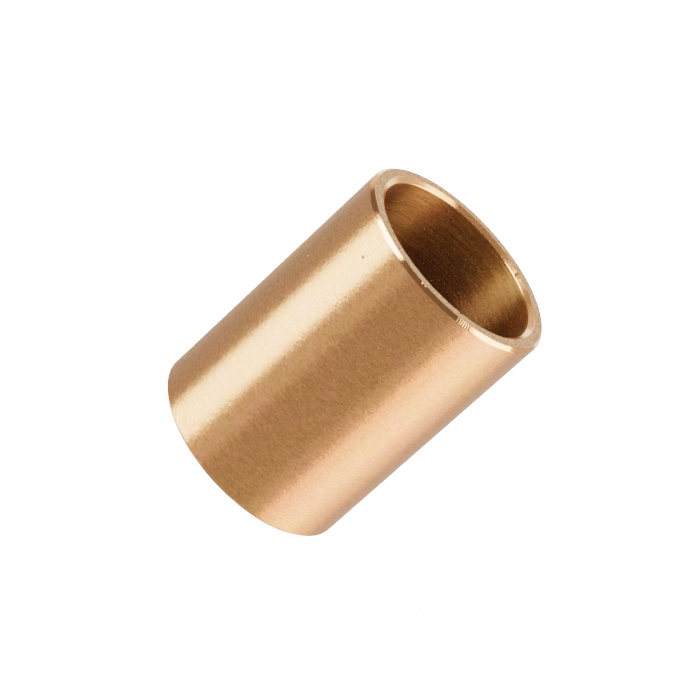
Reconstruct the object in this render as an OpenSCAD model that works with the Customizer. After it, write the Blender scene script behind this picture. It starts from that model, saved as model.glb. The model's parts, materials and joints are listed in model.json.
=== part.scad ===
// Plain cylindrical sleeve bushing, turned in one piece from continuous-cast bearing bronze.
// It is pressed into a housing and a shaft turns in its bore.
// The sleeve stands on one end face: the origin is the centre of that face and +Z is the bore axis.

/* [Sleeve] */
// Diameter of the bore that the shaft turns in
bore_d = 25; // [6:0.5:120]
// Thickness of the wall between the bore and the outside
wall = 2.5; // [1.5:0.1:20]
// Length from one end face to the other
length = 40; // [8:0.5:200]

/* [Outer chamfers] */
// Radial width of the lead-in chamfer round each outer edge
outer_chamfer = 0.5; // [0.1:0.05:0.6]
// Angle between the outer chamfer and the bore axis
outer_chamfer_angle = 45; // [15:5:60]

/* [Bore chamfers] */
// Radial width of the chamfer round each mouth of the bore
bore_chamfer = 0.5; // [0.1:0.05:0.6]
// Angle between the bore chamfer and the bore axis
bore_chamfer_angle = 45; // [15:5:60]

/* [Hidden] */
$fn = 180;

bore_r = bore_d / 2;
outer_r = bore_r + wall;
outer_chamfer_depth = outer_chamfer / tan(outer_chamfer_angle);
bore_chamfer_depth = bore_chamfer / tan(bore_chamfer_angle);

// The outer half of one end's outline, from the end face out over the chamfer to the wall.
function outer_edge() = [
    [outer_r - outer_chamfer, 0],
    [outer_r, outer_chamfer_depth]
];

// The inner half of one end's outline, from the bore out over the chamfer to the end face.
function bore_edge() = [
    [bore_r, bore_chamfer_depth],
    [bore_r + bore_chamfer, 0]
];

// The same points at the other end of the sleeve, in the order that closes the outline.
function at_far_end(points) = [
    for (i = [len(points) - 1 : -1 : 0])
        [points[i][0], length - points[i][1]]
];

// Section through one side of the wall: x is the distance from the bore axis, y the height.
module wall_section() {
    polygon(concat(
        bore_edge(),
        outer_edge(),
        at_far_end(outer_edge()),
        at_far_end(bore_edge())
    ));
}

module sleeve() {
    color("peru")
        rotate_extrude()
            wall_section();
}

sleeve();
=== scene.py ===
"""Bronze sleeve bushing, finished: turned outside, bored inside, faced and chamfered at both ends."""
import json
import math

import bmesh
import bpy
from mathutils import Matrix, Vector, noise


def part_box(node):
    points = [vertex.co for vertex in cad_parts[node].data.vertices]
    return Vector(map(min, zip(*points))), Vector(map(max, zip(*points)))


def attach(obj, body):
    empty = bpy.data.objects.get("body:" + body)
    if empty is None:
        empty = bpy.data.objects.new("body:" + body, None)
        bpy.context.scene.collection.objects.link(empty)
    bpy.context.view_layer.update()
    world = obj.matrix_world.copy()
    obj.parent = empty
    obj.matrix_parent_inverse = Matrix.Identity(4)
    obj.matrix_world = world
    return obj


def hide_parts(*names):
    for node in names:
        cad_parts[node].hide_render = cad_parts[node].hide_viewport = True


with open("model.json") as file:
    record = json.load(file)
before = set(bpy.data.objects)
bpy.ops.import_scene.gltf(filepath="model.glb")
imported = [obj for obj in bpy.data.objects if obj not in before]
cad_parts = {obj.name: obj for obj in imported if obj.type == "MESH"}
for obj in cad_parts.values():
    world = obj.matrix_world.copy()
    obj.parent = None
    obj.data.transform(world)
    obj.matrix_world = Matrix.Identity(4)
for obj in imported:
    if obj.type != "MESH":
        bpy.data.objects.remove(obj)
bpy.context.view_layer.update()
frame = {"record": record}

# Sizes, in metres, all of them from the frame.
MM = 0.001
mounts = {mount["name"]: mount for mount in frame["record"]["mounts"]}
low_corner, high_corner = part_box("sleeve")
length = high_corner[2] - low_corner[2]
outer_r = mounts["outer_wall"]["dims"]["r_mm"] * MM
bore_r = mounts["bore"]["dims"]["r_mm"] * MM
outer_chamfer = (length - mounts["outer_wall"]["dims"]["length_mm"] * MM) / 2
bore_chamfer = (length - mounts["bore"]["dims"]["length_mm"] * MM) / 2
middle_r = (outer_r + bore_r) / 2
middle = Vector((0, 0, length / 2))

# The four cuts and the pits in them, in the order of the sleeve's material slots.
WALL, BORE, FACE, CHAMFER, PIT = range(5)


# ---------------------------------------------------------------------------------------------
# Shader kit

class Socket:
    """An output of a node, which can be used in a sum."""

    def __init__(self, finish, output):
        self.finish = finish
        self.output = output

    def sum(self, operation, first, second=0.0):
        return self.finish.node("Math", {"operation": operation}, {0: first, 1: second})

    def __add__(self, other):
        return self.sum("ADD", self, other)

    def __radd__(self, other):
        return self.sum("ADD", other, self)

    def __sub__(self, other):
        return self.sum("SUBTRACT", self, other)

    def __rsub__(self, other):
        return self.sum("SUBTRACT", other, self)

    def __mul__(self, other):
        return self.sum("MULTIPLY", self, other)

    def __rmul__(self, other):
        return self.sum("MULTIPLY", other, self)

    def __truediv__(self, other):
        return self.sum("DIVIDE", self, other)


class Finish:
    """A material with one Principled shader, and the nodes that drive it."""

    def __init__(self, name):
        self.material = bpy.data.materials.new(name)
        self.material.use_nodes = True
        self.tree = self.material.node_tree
        self.shader = self.tree.nodes["Principled BSDF"]
        self.place = self.node("TexCoord", output="Object")

    def node(self, kind, settings=None, inputs=None, output=0):
        """Adds a node: its settings first, then the values or links of its sockets."""
        node = self.tree.nodes.new("ShaderNode" + kind)
        for name, value in (settings or {}).items():
            setattr(node, name, value)
        self.fill(node, inputs or {})
        return Socket(self, node.outputs[output])

    def fill(self, node, inputs):
        """Links or sets a node's input sockets."""
        for name, value in inputs.items():
            if isinstance(value, Socket):
                self.tree.links.new(value.output, node.inputs[name])
            else:
                node.inputs[name].default_value = value

    def shade(self, **inputs):
        """Sets the shader's own sockets, with underscores for the spaces in their names."""
        self.fill(self.shader, {name.replace("_", " "): value for name, value in inputs.items()})

    def noise(self, size, detail=2.0, roughness=0.5, shift=0.0):
        """Noise centred on 0.5. Size is that of its grains along X, Y and Z, in metres."""
        grains = self.node(
            "VectorMath",
            {"operation": "MULTIPLY_ADD"},
            {0: self.place, 1: [1 / s for s in size], 2: (shift, shift, shift)},
        )
        settings = {"noise_dimensions": "3D"}
        inputs = {"Vector": grains, "Scale": 1.0, "Detail": detail, "Roughness": roughness}
        return self.node("TexNoise", settings, inputs)

    def tint(self, factor, first, second):
        """A colour between two others, each of them a colour or a socket."""
        ends = [end if isinstance(end, Socket) else (*end, 1) for end in (first, second)]
        settings = {"data_type": "RGBA", "clamp_factor": True}
        return self.node("Mix", settings, {0: factor, 6: ends[0], 7: ends[1]}, output=2)

    def scale_colour(self, colour, factor):
        """A colour made brighter or darker."""
        settings = {"operation": "SCALE"}
        return self.node("VectorMath", settings, {0: colour, "Scale": factor})

    def bump(self, height, distance):
        """The normal of a relief whose heights run from 0 to 1 times a distance in metres."""
        inputs = {"Height": height, "Distance": distance, "Strength": 1.0}
        return self.node("Bump", None, inputs)


# ---------------------------------------------------------------------------------------------
# Finishes

# Colours. The first six are the ends of three mottlings.
PINK_BRONZE = (0.82, 0.337, 0.182)
OLIVE_BRONZE = (0.76, 0.35, 0.156)
# The next two are the bore's bronze, darkened as painted shade of its hollow.
PINK_BORE_SHADE = (0.343, 0.158, 0.064)
OLIVE_BORE_SHADE = (0.336, 0.167, 0.056)
DARK_FACE = (0.34, 0.194, 0.118)
PALE_FACE = (0.71, 0.405, 0.233)
SPECK = (0.52, 0.39, 0.26)
# A pit's floor, painted dark as the shade inside it.
PIT_SHADE = (0.24, 0.095, 0.05)

# A quarter turn of the tangent, which widens the highlights along the axis and not round it.
ALONG_AXIS = 0.25


def mottled(finish, pink=PINK_BRONZE, olive=OLIVE_BRONZE):
    """Bronze whose tint drifts between pink and olive in patches a few millimetres across."""
    patches = finish.noise((5 * MM, 5 * MM, 4 * MM), detail=2, roughness=0.55)
    return finish.tint((patches - 0.32) / 0.36, pink, olive)


def turned_wall():
    """The outer wall: fine marks left round it by the turning tool."""
    finish = Finish("turned_bronze")
    strokes = finish.noise((1.3 * MM, 1.3 * MM, 0.17 * MM), detail=2, roughness=0.6)
    grain = finish.noise((0.5 * MM, 0.5 * MM, 0.2 * MM), detail=2, roughness=0.6, shift=31)
    finish.shade(
        Base_Color=finish.scale_colour(mottled(finish), 0.3 + (strokes * 0.65 + grain * 0.75)),
        Metallic=1.0,
        Roughness=0.31,
        Anisotropic=1.0,
        Anisotropic_Rotation=ALONG_AXIS,
        Normal=finish.bump(strokes * 0.5 + grain * 0.5, 0.055 * MM),
    )
    return finish.material


def bored_wall():
    """The bore: longer marks than outside, painted shade that deepens towards its middle, and pale
    specks.
    """
    finish = Finish("bored_bronze")
    height = finish.node("SeparateXYZ", None, {0: finish.place}, output=2)
    from_middle = finish.node("Math", {"operation": "ABSOLUTE"}, {0: height - length / 2})
    mouth = from_middle / (length / 2)
    strokes = finish.noise((3.5 * MM, 3.5 * MM, 0.22 * MM), detail=2, roughness=0.6, shift=7)
    grain = finish.noise((0.5 * MM, 0.5 * MM, 0.2 * MM), detail=2, roughness=0.6, shift=53)
    specks = finish.noise((0.35 * MM, 0.35 * MM, 0.35 * MM), detail=1, shift=71)
    marks = strokes * 1.1 + grain * 0.7
    # Painted shade: the colour darkens towards the middle of the bore's length, to 0.44 of that at the
    # ends.
    painted_depth_shade = 0.44 + mouth * mouth * 0.56
    bronze = finish.scale_colour(mottled(finish, PINK_BORE_SHADE, OLIVE_BORE_SHADE), marks * painted_depth_shade)
    finish.shade(
        Base_Color=finish.tint((specks - 0.71) * 12, bronze, SPECK),
        Metallic=0.86,
        Roughness=0.42 + grain * 0.06,
        Anisotropic=0.95,
        Anisotropic_Rotation=ALONG_AXIS,
        Normal=finish.bump(strokes * 0.5 + grain * 0.5, 0.04 * MM),
    )
    return finish.material


def faced_end():
    """The end faces: a matte facing cut."""
    finish = Finish("faced_bronze")
    grain = finish.noise((0.33 * MM, 0.33 * MM, 0.33 * MM), detail=2, roughness=0.6, shift=11)
    finish.shade(
        Base_Color=finish.tint((grain - 0.33) / 0.34, DARK_FACE, PALE_FACE),
        Metallic=1.0,
        Roughness=0.55 + grain * 0.1,
        Normal=finish.bump(grain, 0.01 * MM),
    )
    return finish.material


def cut_chamfer():
    """The chamfers: a bright cut, sharper than the walls, and a little duller at the bore."""
    finish = Finish("chamfered_bronze")
    across = finish.node("VectorMath", {"operation": "MULTIPLY"}, {0: finish.place, 1: (1, 1, 0)})
    radius = finish.node("VectorMath", {"operation": "LENGTH"}, {0: across}, output="Value")
    inside = finish.node("Math", {"operation": "LESS_THAN"}, {0: radius, 1: middle_r})
    strokes = finish.noise((0.8 * MM, 0.8 * MM, 0.1 * MM), detail=1, shift=23)
    finish.shade(
        Base_Color=finish.scale_colour(mottled(finish), 0.9 + strokes * 0.3),
        Metallic=1.0 - inside * 0.04,
        Roughness=0.14 + inside * 0.06,
        Anisotropic=0.7,
        Anisotropic_Rotation=ALONG_AXIS,
        Normal=finish.bump(strokes, 0.004 * MM),
    )
    return finish.material


def painted_pit_shade():
    """The floor of a pit in the metal, painted dark as the shade inside the pit."""
    finish = Finish("pitted_bronze")
    finish.shade(Base_Color=(*PIT_SHADE, 1), Metallic=0.6, Roughness=0.7)
    return finish.material


# ---------------------------------------------------------------------------------------------
# Sleeve

# Azimuths run in degrees round Z, from -Y towards +X.

# The spin's sectors: where each starts, and its step. The steps are fine where the rim is marked.
SPIN = (
    (21, 0.2),
    (29, 1),
    (145, 0.25),
    (151, 1),
    (200, 0.25),
    (206, 1),
    (355, 0.25),
    (361, 1),
    (381, 1),
)

# The outline's long edges: the least length, and into how many pieces it is cut.
EDGE_PIECES = ((10 * MM, 72), (1 * MM, 6), (0.2 * MM, 4))

# How near the spin's last points are to its first ones, at most.
SAME_PLACE = 0.001 * MM

# How far from a corner its small round starts, and how much larger a mouth's radius is at the end face.
EDGE_BREAK = 0.06 * MM
MOUTH_BREAK = 0.16 * MM

# A cut and the small round beside it meet at an angle in this range, in degrees. Only where a bore
# chamfer meets the bore is it more, so that edge is shaded smooth.
CUT_ANGLES = (5, 10)

# How much of a face's normal runs along the axis, at least, on an end face and on a chamfer.
FACE_STEEPNESS = 0.95
CHAMFER_STEEPNESS = 0.3

# Tool chatter on the upper outer chamfer: from and to, pitch, all in degrees, and half its depth.
CHATTER = (21.4, 28.8)
CHATTER_PITCH = 1.3
CHATTER_DEPTH = 0.01 * MM

# How deep the chamfers are worn at most, over which lengths that changes, and over which length the
# chatter bends.
CHAMFER_WEAR = 0.02 * MM
LONG_WANDER = 2.5 * MM
SHORT_WANDER = 0.8 * MM
CHATTER_WANDER = 0.8 * MM

# Nicks in the upper rim: azimuth, radius, reach and depth. Only points within RIM_HEIGHT of the end
# are dented.
RIM_HEIGHT = 1 * MM
NICKS = (
    (-157, outer_r - 1.2 * MM, 0.35 * MM, 0.12 * MM),
    (-2, outer_r - outer_chamfer, 0.4 * MM, 0.12 * MM),
    (23, bore_r + bore_chamfer, 0.35 * MM, 0.14 * MM),
    (148, bore_r + bore_chamfer, 0.5 * MM, 0.16 * MM),
)

# Pits in the outer wall: azimuth and height. Each is a face of the wall, cut smaller where an edge
# is longer than PIT_SIZE, and sunk inside a rim as wide as PIT_EDGE.
PITS = ((-33, 0.89 * length), (28, 0.72 * length), (-60, 0.7 * length), (-3, 0.06 * length))
PIT_EDGE = 0.03 * MM
PIT_DEPTH = 0.08 * MM
PIT_SIZE = 0.4 * MM


def wall_section(bm):
    """The outline of the cut wall in the XZ plane, with each corner broken by a small round."""
    corners = [
        (bore_r, bore_chamfer),
        (bore_r + bore_chamfer + MOUTH_BREAK, 0),
        (outer_r - outer_chamfer, 0),
        (outer_r, outer_chamfer),
        (outer_r, length - outer_chamfer),
        (outer_r - outer_chamfer, length),
        (bore_r + bore_chamfer + MOUTH_BREAK, length),
        (bore_r, length - bore_chamfer),
    ]
    section = bm.faces.new([bm.verts.new((radius, 0, height)) for radius, height in corners])
    bmesh.ops.bevel(
        bm,
        geom=section.verts[:],
        affect="VERTICES",
        offset=EDGE_BREAK,
        segments=3,
        profile=0.5,
        material=-1,
    )
    bmesh.ops.delete(bm, geom=bm.faces[:], context="FACES_ONLY")


def cut_long_edges(bm):
    """Divides the outline's long edges, so that the spun faces are small."""
    edges = {edge: edge.calc_length() for edge in bm.edges}
    shorter_than = math.inf
    for shortest, pieces in EDGE_PIECES:
        chosen = [edge for edge, size in edges.items() if shortest <= size < shorter_than]
        bmesh.ops.subdivide_edges(bm, edges=chosen, cuts=pieces - 1)
        shorter_than = shortest


def spin_section(bm):
    """Spins the outline round Z, sector by sector, and closes the ring."""
    outline = bm.verts[:] + bm.edges[:]
    start = Matrix.Rotation(math.radians(SPIN[0][0] - 90), 3, "Z")
    bmesh.ops.rotate(bm, verts=bm.verts[:], matrix=start)
    for (azimuth, step), (next_azimuth, _) in zip(SPIN, SPIN[1:]):
        spun = bmesh.ops.spin(
            bm,
            geom=outline,
            axis=(0, 0, 1),
            cent=(0, 0, 0),
            angle=math.radians(next_azimuth - azimuth),
            steps=round((next_azimuth - azimuth) / step),
        )
        outline = spun["geom_last"]
    bmesh.ops.remove_doubles(bm, verts=bm.verts[:], dist=SAME_PLACE)
    bmesh.ops.recalc_face_normals(bm, faces=bm.faces[:])


def sharpen_cuts(bm):
    """Keeps the cuts flat right up to the small rounds, except where a chamfer meets the bore."""
    least, most = CUT_ANGLES
    for edge in bm.edges:
        edge.smooth = not least < math.degrees(edge.calc_face_angle()) < most


def name_cuts(bm):
    """Gives each face a slot by its slope, so a small round's faces go with the cuts beside it."""
    for face in bm.faces:
        face.smooth = True
        steepness = abs(face.normal.z)
        outside = face.calc_center_median().xy.length > middle_r
        if steepness > FACE_STEEPNESS:
            face.material_index = FACE
        elif steepness > CHAMFER_STEEPNESS:
            face.material_index = CHAMFER
        else:
            face.material_index = WALL if outside else BORE


def azimuth_of(point):
    """A point's azimuth in degrees."""
    return math.degrees(math.atan2(point.x, -point.y))


def at(azimuth, radius, height):
    """The point at an azimuth in degrees, a radius and a height."""
    turn = math.radians(azimuth)
    return Vector((radius * math.sin(turn), -radius * math.cos(turn), height))


def wear_chamfers(bm):
    """Lets the chamfers wander a little, as a hand-held edge does, and leaves chatter on one."""
    start, end = CHATTER
    bm.normal_update()
    shifts = {}
    for vert in bm.verts:
        if any(face.material_index != CHAMFER for face in vert.link_faces):
            continue
        long_wander = noise.noise(vert.co / LONG_WANDER)
        short_wander = noise.noise(vert.co / SHORT_WANDER)
        depth = CHAMFER_WEAR * min(max(0.5 + long_wander + 0.5 * short_wander, 0), 1)
        azimuth = azimuth_of(vert.co)
        outside = vert.co.xy.length > middle_r
        if outside and vert.co.z > length / 2 and start < azimuth < end:
            marks = (azimuth - start) / CHATTER_PITCH + 0.5 * noise.noise(vert.co / CHATTER_WANDER)
            depth += CHATTER_DEPTH * (1 - math.cos(math.tau * marks))
        shifts[vert] = vert.normal * -depth
    for vert, shift in shifts.items():
        vert.co += shift


def nick_rim(bm):
    """Dents the upper rim."""
    rim = [vert for vert in bm.verts if vert.co.z > length - RIM_HEIGHT]
    for azimuth, radius, reach, depth in NICKS:
        centre = at(azimuth, radius, length)
        for vert in rim:
            near = 1 - (vert.co - centre).length / reach
            if near > 0:
                vert.co.z -= depth * min(near * 2, 1)


def sink_pits(bm):
    """Sinks the wall's face nearest to each pit."""
    walls = [face for face in bm.faces if face.material_index == WALL]
    for azimuth, height in PITS:
        spot = at(azimuth, outer_r, height)
        face = min(walls, key=lambda wall: (wall.calc_center_median() - spot).length)
        bmesh.ops.subdivide_edges(
            bm,
            edges=[edge for edge in face.edges if edge.calc_length() > PIT_SIZE],
            cuts=1,
            use_grid_fill=True,
        )
        bmesh.ops.inset_individual(bm, faces=[face], thickness=PIT_EDGE, depth=-PIT_DEPTH)
        # The pit's floor takes the dark slot, which paints its shade.
        face.material_index = PIT
        face.smooth = False


# The unrolled cuts: the margin beside them, their scale, and where the strip of each cut starts.
STRIP_MARGIN = 0.01
STRIP_SCALE = (1 - 2 * STRIP_MARGIN) / (math.tau * outer_r)
STRIPS = {
    (WALL, True): STRIP_MARGIN,
    (BORE, True): 0.44,
    (FACE, True): 0.87,
    (FACE, False): 0.895,
    (CHAMFER, True): 0.92,
    (CHAMFER, False): 0.95,
}


def lay_flat(bm):
    """Unrolls every cut into a strip of its own, for colours that are baked later.

    Walls go by height and the rest by radius, so the upper and lower end need a strip each.
    """
    layer = bm.loops.layers.uv.new("OFBake")
    for face in bm.faces:
        centre = face.calc_center_median()
        middle_azimuth = azimuth_of(centre)
        upright = face.material_index in (WALL, BORE, PIT)
        cut = WALL if face.material_index == PIT else face.material_index
        start = STRIPS[cut, upright or centre.z > length / 2]
        for loop in face.loops:
            co = loop.vert.co
            turn = (azimuth_of(co) - middle_azimuth + 180) % 360 - 180 + middle_azimuth
            across = co.z if upright else co.xy.length - bore_r
            radius = bore_r if cut == BORE else outer_r
            u = STRIP_MARGIN + math.radians(turn + 180) * radius * STRIP_SCALE
            loop[layer].uv = (u, start + across * STRIP_SCALE)


def make_sleeve():
    """The one piece, in place of the CAD's sleeve."""
    bm = bmesh.new()
    wall_section(bm)
    cut_long_edges(bm)
    spin_section(bm)
    sharpen_cuts(bm)
    name_cuts(bm)
    wear_chamfers(bm)
    nick_rim(bm)
    sink_pits(bm)
    lay_flat(bm)
    mesh = bpy.data.meshes.new("turned_sleeve")
    bm.to_mesh(mesh)
    bm.free()
    for material in (turned_wall(), bored_wall(), faced_end(), cut_chamfer(), painted_pit_shade()):
        mesh.materials.append(material)
    sleeve = bpy.data.objects.new("turned_sleeve", mesh)
    bpy.context.collection.objects.link(sleeve)
    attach(sleeve, "root")
    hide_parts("sleeve")


# ---------------------------------------------------------------------------------------------
# Studio

def panel(name, azimuth, distance, width, low, high, radiance, colour=(1, 1, 1)):
    """An upright panel of light that faces the sleeve, and that only the metal reflects.

    It stands at an azimuth in degrees, and its low and high edge are heights in metres.
    """
    lamp = bpy.data.lights.new(name, "AREA")
    lamp.shape = "RECTANGLE"
    lamp.size = width
    lamp.size_y = high - low
    lamp.energy = radiance * math.pi * width * (high - low)
    lamp.color = colour
    light = bpy.data.objects.new(name, lamp)
    light.matrix_world = (
        Matrix.Rotation(math.radians(azimuth), 4, "Z")
        @ Matrix.Translation((0, -distance, (low + high) / 2))
        @ Matrix.Rotation(math.radians(90), 4, "X")
    )
    light.visible_camera = False
    light.visible_diffuse = False
    bpy.context.collection.objects.link(light)
    return light


def make_lights():
    """Softboxes to the left and right, fills between them, and a wash that only matte things see."""
    panel("left_softbox", -66.2, 0.45, 0.31, -0.35, 0.3, 4.3, (0.97, 0.97, 1))
    panel("left_softbox_top", -79, 0.45, 0.373, 0.3, 0.9, 10, (0.97, 0.97, 1))
    panel("left_glow", -36, 0.45, 0.27, -0.35, 0.3, 0.34)
    panel("right_softbox", 78.5, 0.45, 0.35, -0.35, 0.2, 3.2, (1, 0.56, 0.6))
    panel("right_softbox_edge", 109.5, 0.45, 0.15, -0.35, 0.2, 1.2, (1, 0.66, 0.72))
    panel("right_softbox_top", 99, 0.45, 0.382, 0.2, 0.6, 6, (1, 0.92, 0.85))
    panel("right_softbox_high", 107, 0.45, 0.33, 0.6, 1.05, 3.8, (1, 0.93, 0.85))
    panel("right_glow", 51, 0.45, 0.18, -0.35, 0.3, 0.65)
    panel("front_fill", 0, 0.7, 1.2, -0.6, 0.3, 0.275, (1, 0.99, 0.96))
    panel("left_fill", -105, 0.7, 2.4, -0.7, 0.25, 0.33, (0.92, 1, 1))
    panel("left_back_fill", -149, 0.7, 0.4, -0.1, 0.8, 0.5)
    panel("right_fill", 120, 0.7, 1.6, -0.6, 1, 0.52, (1, 0.97, 0.97))
    panel("back_fill", 180, 0.8, 0.8, -0.2, 0.9, 0.95)
    glow = panel("glow_from_below", 0, 0, 0.3, 0, 0.3, 2)
    glow.matrix_world = Matrix.Translation((0, 0, -0.3)) @ Matrix.Rotation(math.pi, 4, "X")
    wash = panel("floor_wash", 0, 0, 1.2, 0, 1.2, 6.6)
    wash.matrix_world = Matrix.Translation((0, 0, 0.5))
    wash.visible_diffuse = True
    wash.visible_glossy = False


def glowing_paint(name, colour, roughness, glow, strength):
    """A matte paint that shines by itself."""
    paint = Finish(name)
    paint.shade(
        Base_Color=(*colour, 1),
        Roughness=roughness,
        Specular_IOR_Level=0.0,
        Emission_Color=(*glow, 1),
        Emission_Strength=strength,
    )
    return paint.material


def staging(name, bm, paint):
    """A painted object of the studio, from a bmesh that this uses up."""
    mesh = bpy.data.meshes.new(name)
    bm.to_mesh(mesh)
    bm.free()
    mesh.materials.append(paint)
    thing = bpy.data.objects.new(name, mesh)
    bpy.context.collection.objects.link(thing)
    return thing


# The backdrop's size in metres, how many sides the studio's discs have, and how far the shade lies
# below the sleeve.
BACKDROP_RADIUS = 1
BACKDROP_HEIGHT = 1.5
ROUND = 96
SHADE_GAP = 0.1 * MM


def make_floor():
    """A white floor with a white wall round it, which light up nothing that they surround."""
    bm = bmesh.new()
    radius = BACKDROP_RADIUS
    bmesh.ops.create_circle(bm, cap_ends=True, cap_tris=False, segments=ROUND, radius=radius)
    rim = bmesh.ops.extrude_edge_only(bm, edges=bm.edges[:])["geom"]
    top = [part for part in rim if isinstance(part, bmesh.types.BMVert)]
    bmesh.ops.translate(bm, verts=top, vec=(0, 0, BACKDROP_HEIGHT))
    paint = glowing_paint("white_floor", (0.9, 0.9, 0.9), 0.9, (1, 1, 1), 8)
    floor = staging("floor", bm, paint)
    floor.visible_glossy = False
    floor.visible_diffuse = False
    floor.visible_shadow = False


def make_shade():
    """What the metal reflects in place of the floor's middle: the shade below the standing sleeve."""
    bm = bmesh.new()
    bmesh.ops.create_circle(bm, cap_ends=True, cap_tris=False, segments=ROUND, radius=outer_r)
    bmesh.ops.translate(bm, verts=bm.verts[:], vec=(0, 0, -SHADE_GAP))
    shade = staging("shade", bm, glowing_paint("shade", (0, 0, 0), 1.0, (1, 0.95, 0.9), 0.4))
    shade.visible_camera = False
    shade.visible_diffuse = False


def make_world():
    """A faint, slightly green light from everywhere."""
    world = bpy.data.worlds.new("studio")
    world.use_nodes = True
    background = world.node_tree.nodes["Background"]
    background.inputs["Color"].default_value = (0.84, 1, 0.95, 1)
    background.inputs["Strength"].default_value = 0.24
    bpy.context.scene.world = world


def make_camera():
    """Looks down at the sleeve from the front, rolled so that the bore points up to the right."""
    elevation = 24.62
    roll = 47.73
    distance = 382.2 * MM
    lens = bpy.data.cameras.new("camera")
    lens.sensor_width = 36
    lens.lens = 152.1
    lens.clip_start = 0.01
    camera = bpy.data.objects.new("camera", lens)
    bpy.context.collection.objects.link(camera)
    aim = middle + Vector((-0.67 * MM, 0, 0))
    camera.matrix_world = (
        Matrix.Translation(aim)
        @ Matrix.Rotation(math.radians(90 - elevation), 4, "X")
        @ Matrix.Rotation(math.radians(roll), 4, "Z")
        @ Matrix.Translation((0, 0, distance))
    )
    bpy.context.scene.camera = camera


def set_tone():
    """A contrasty film curve, which turns the floor to paper white."""
    view = bpy.context.scene.view_settings
    view.view_transform = "Filmic"
    view.look = "High Contrast"


make_camera()
make_sleeve()
make_floor()
make_shade()
make_lights()
make_world()
set_tone()
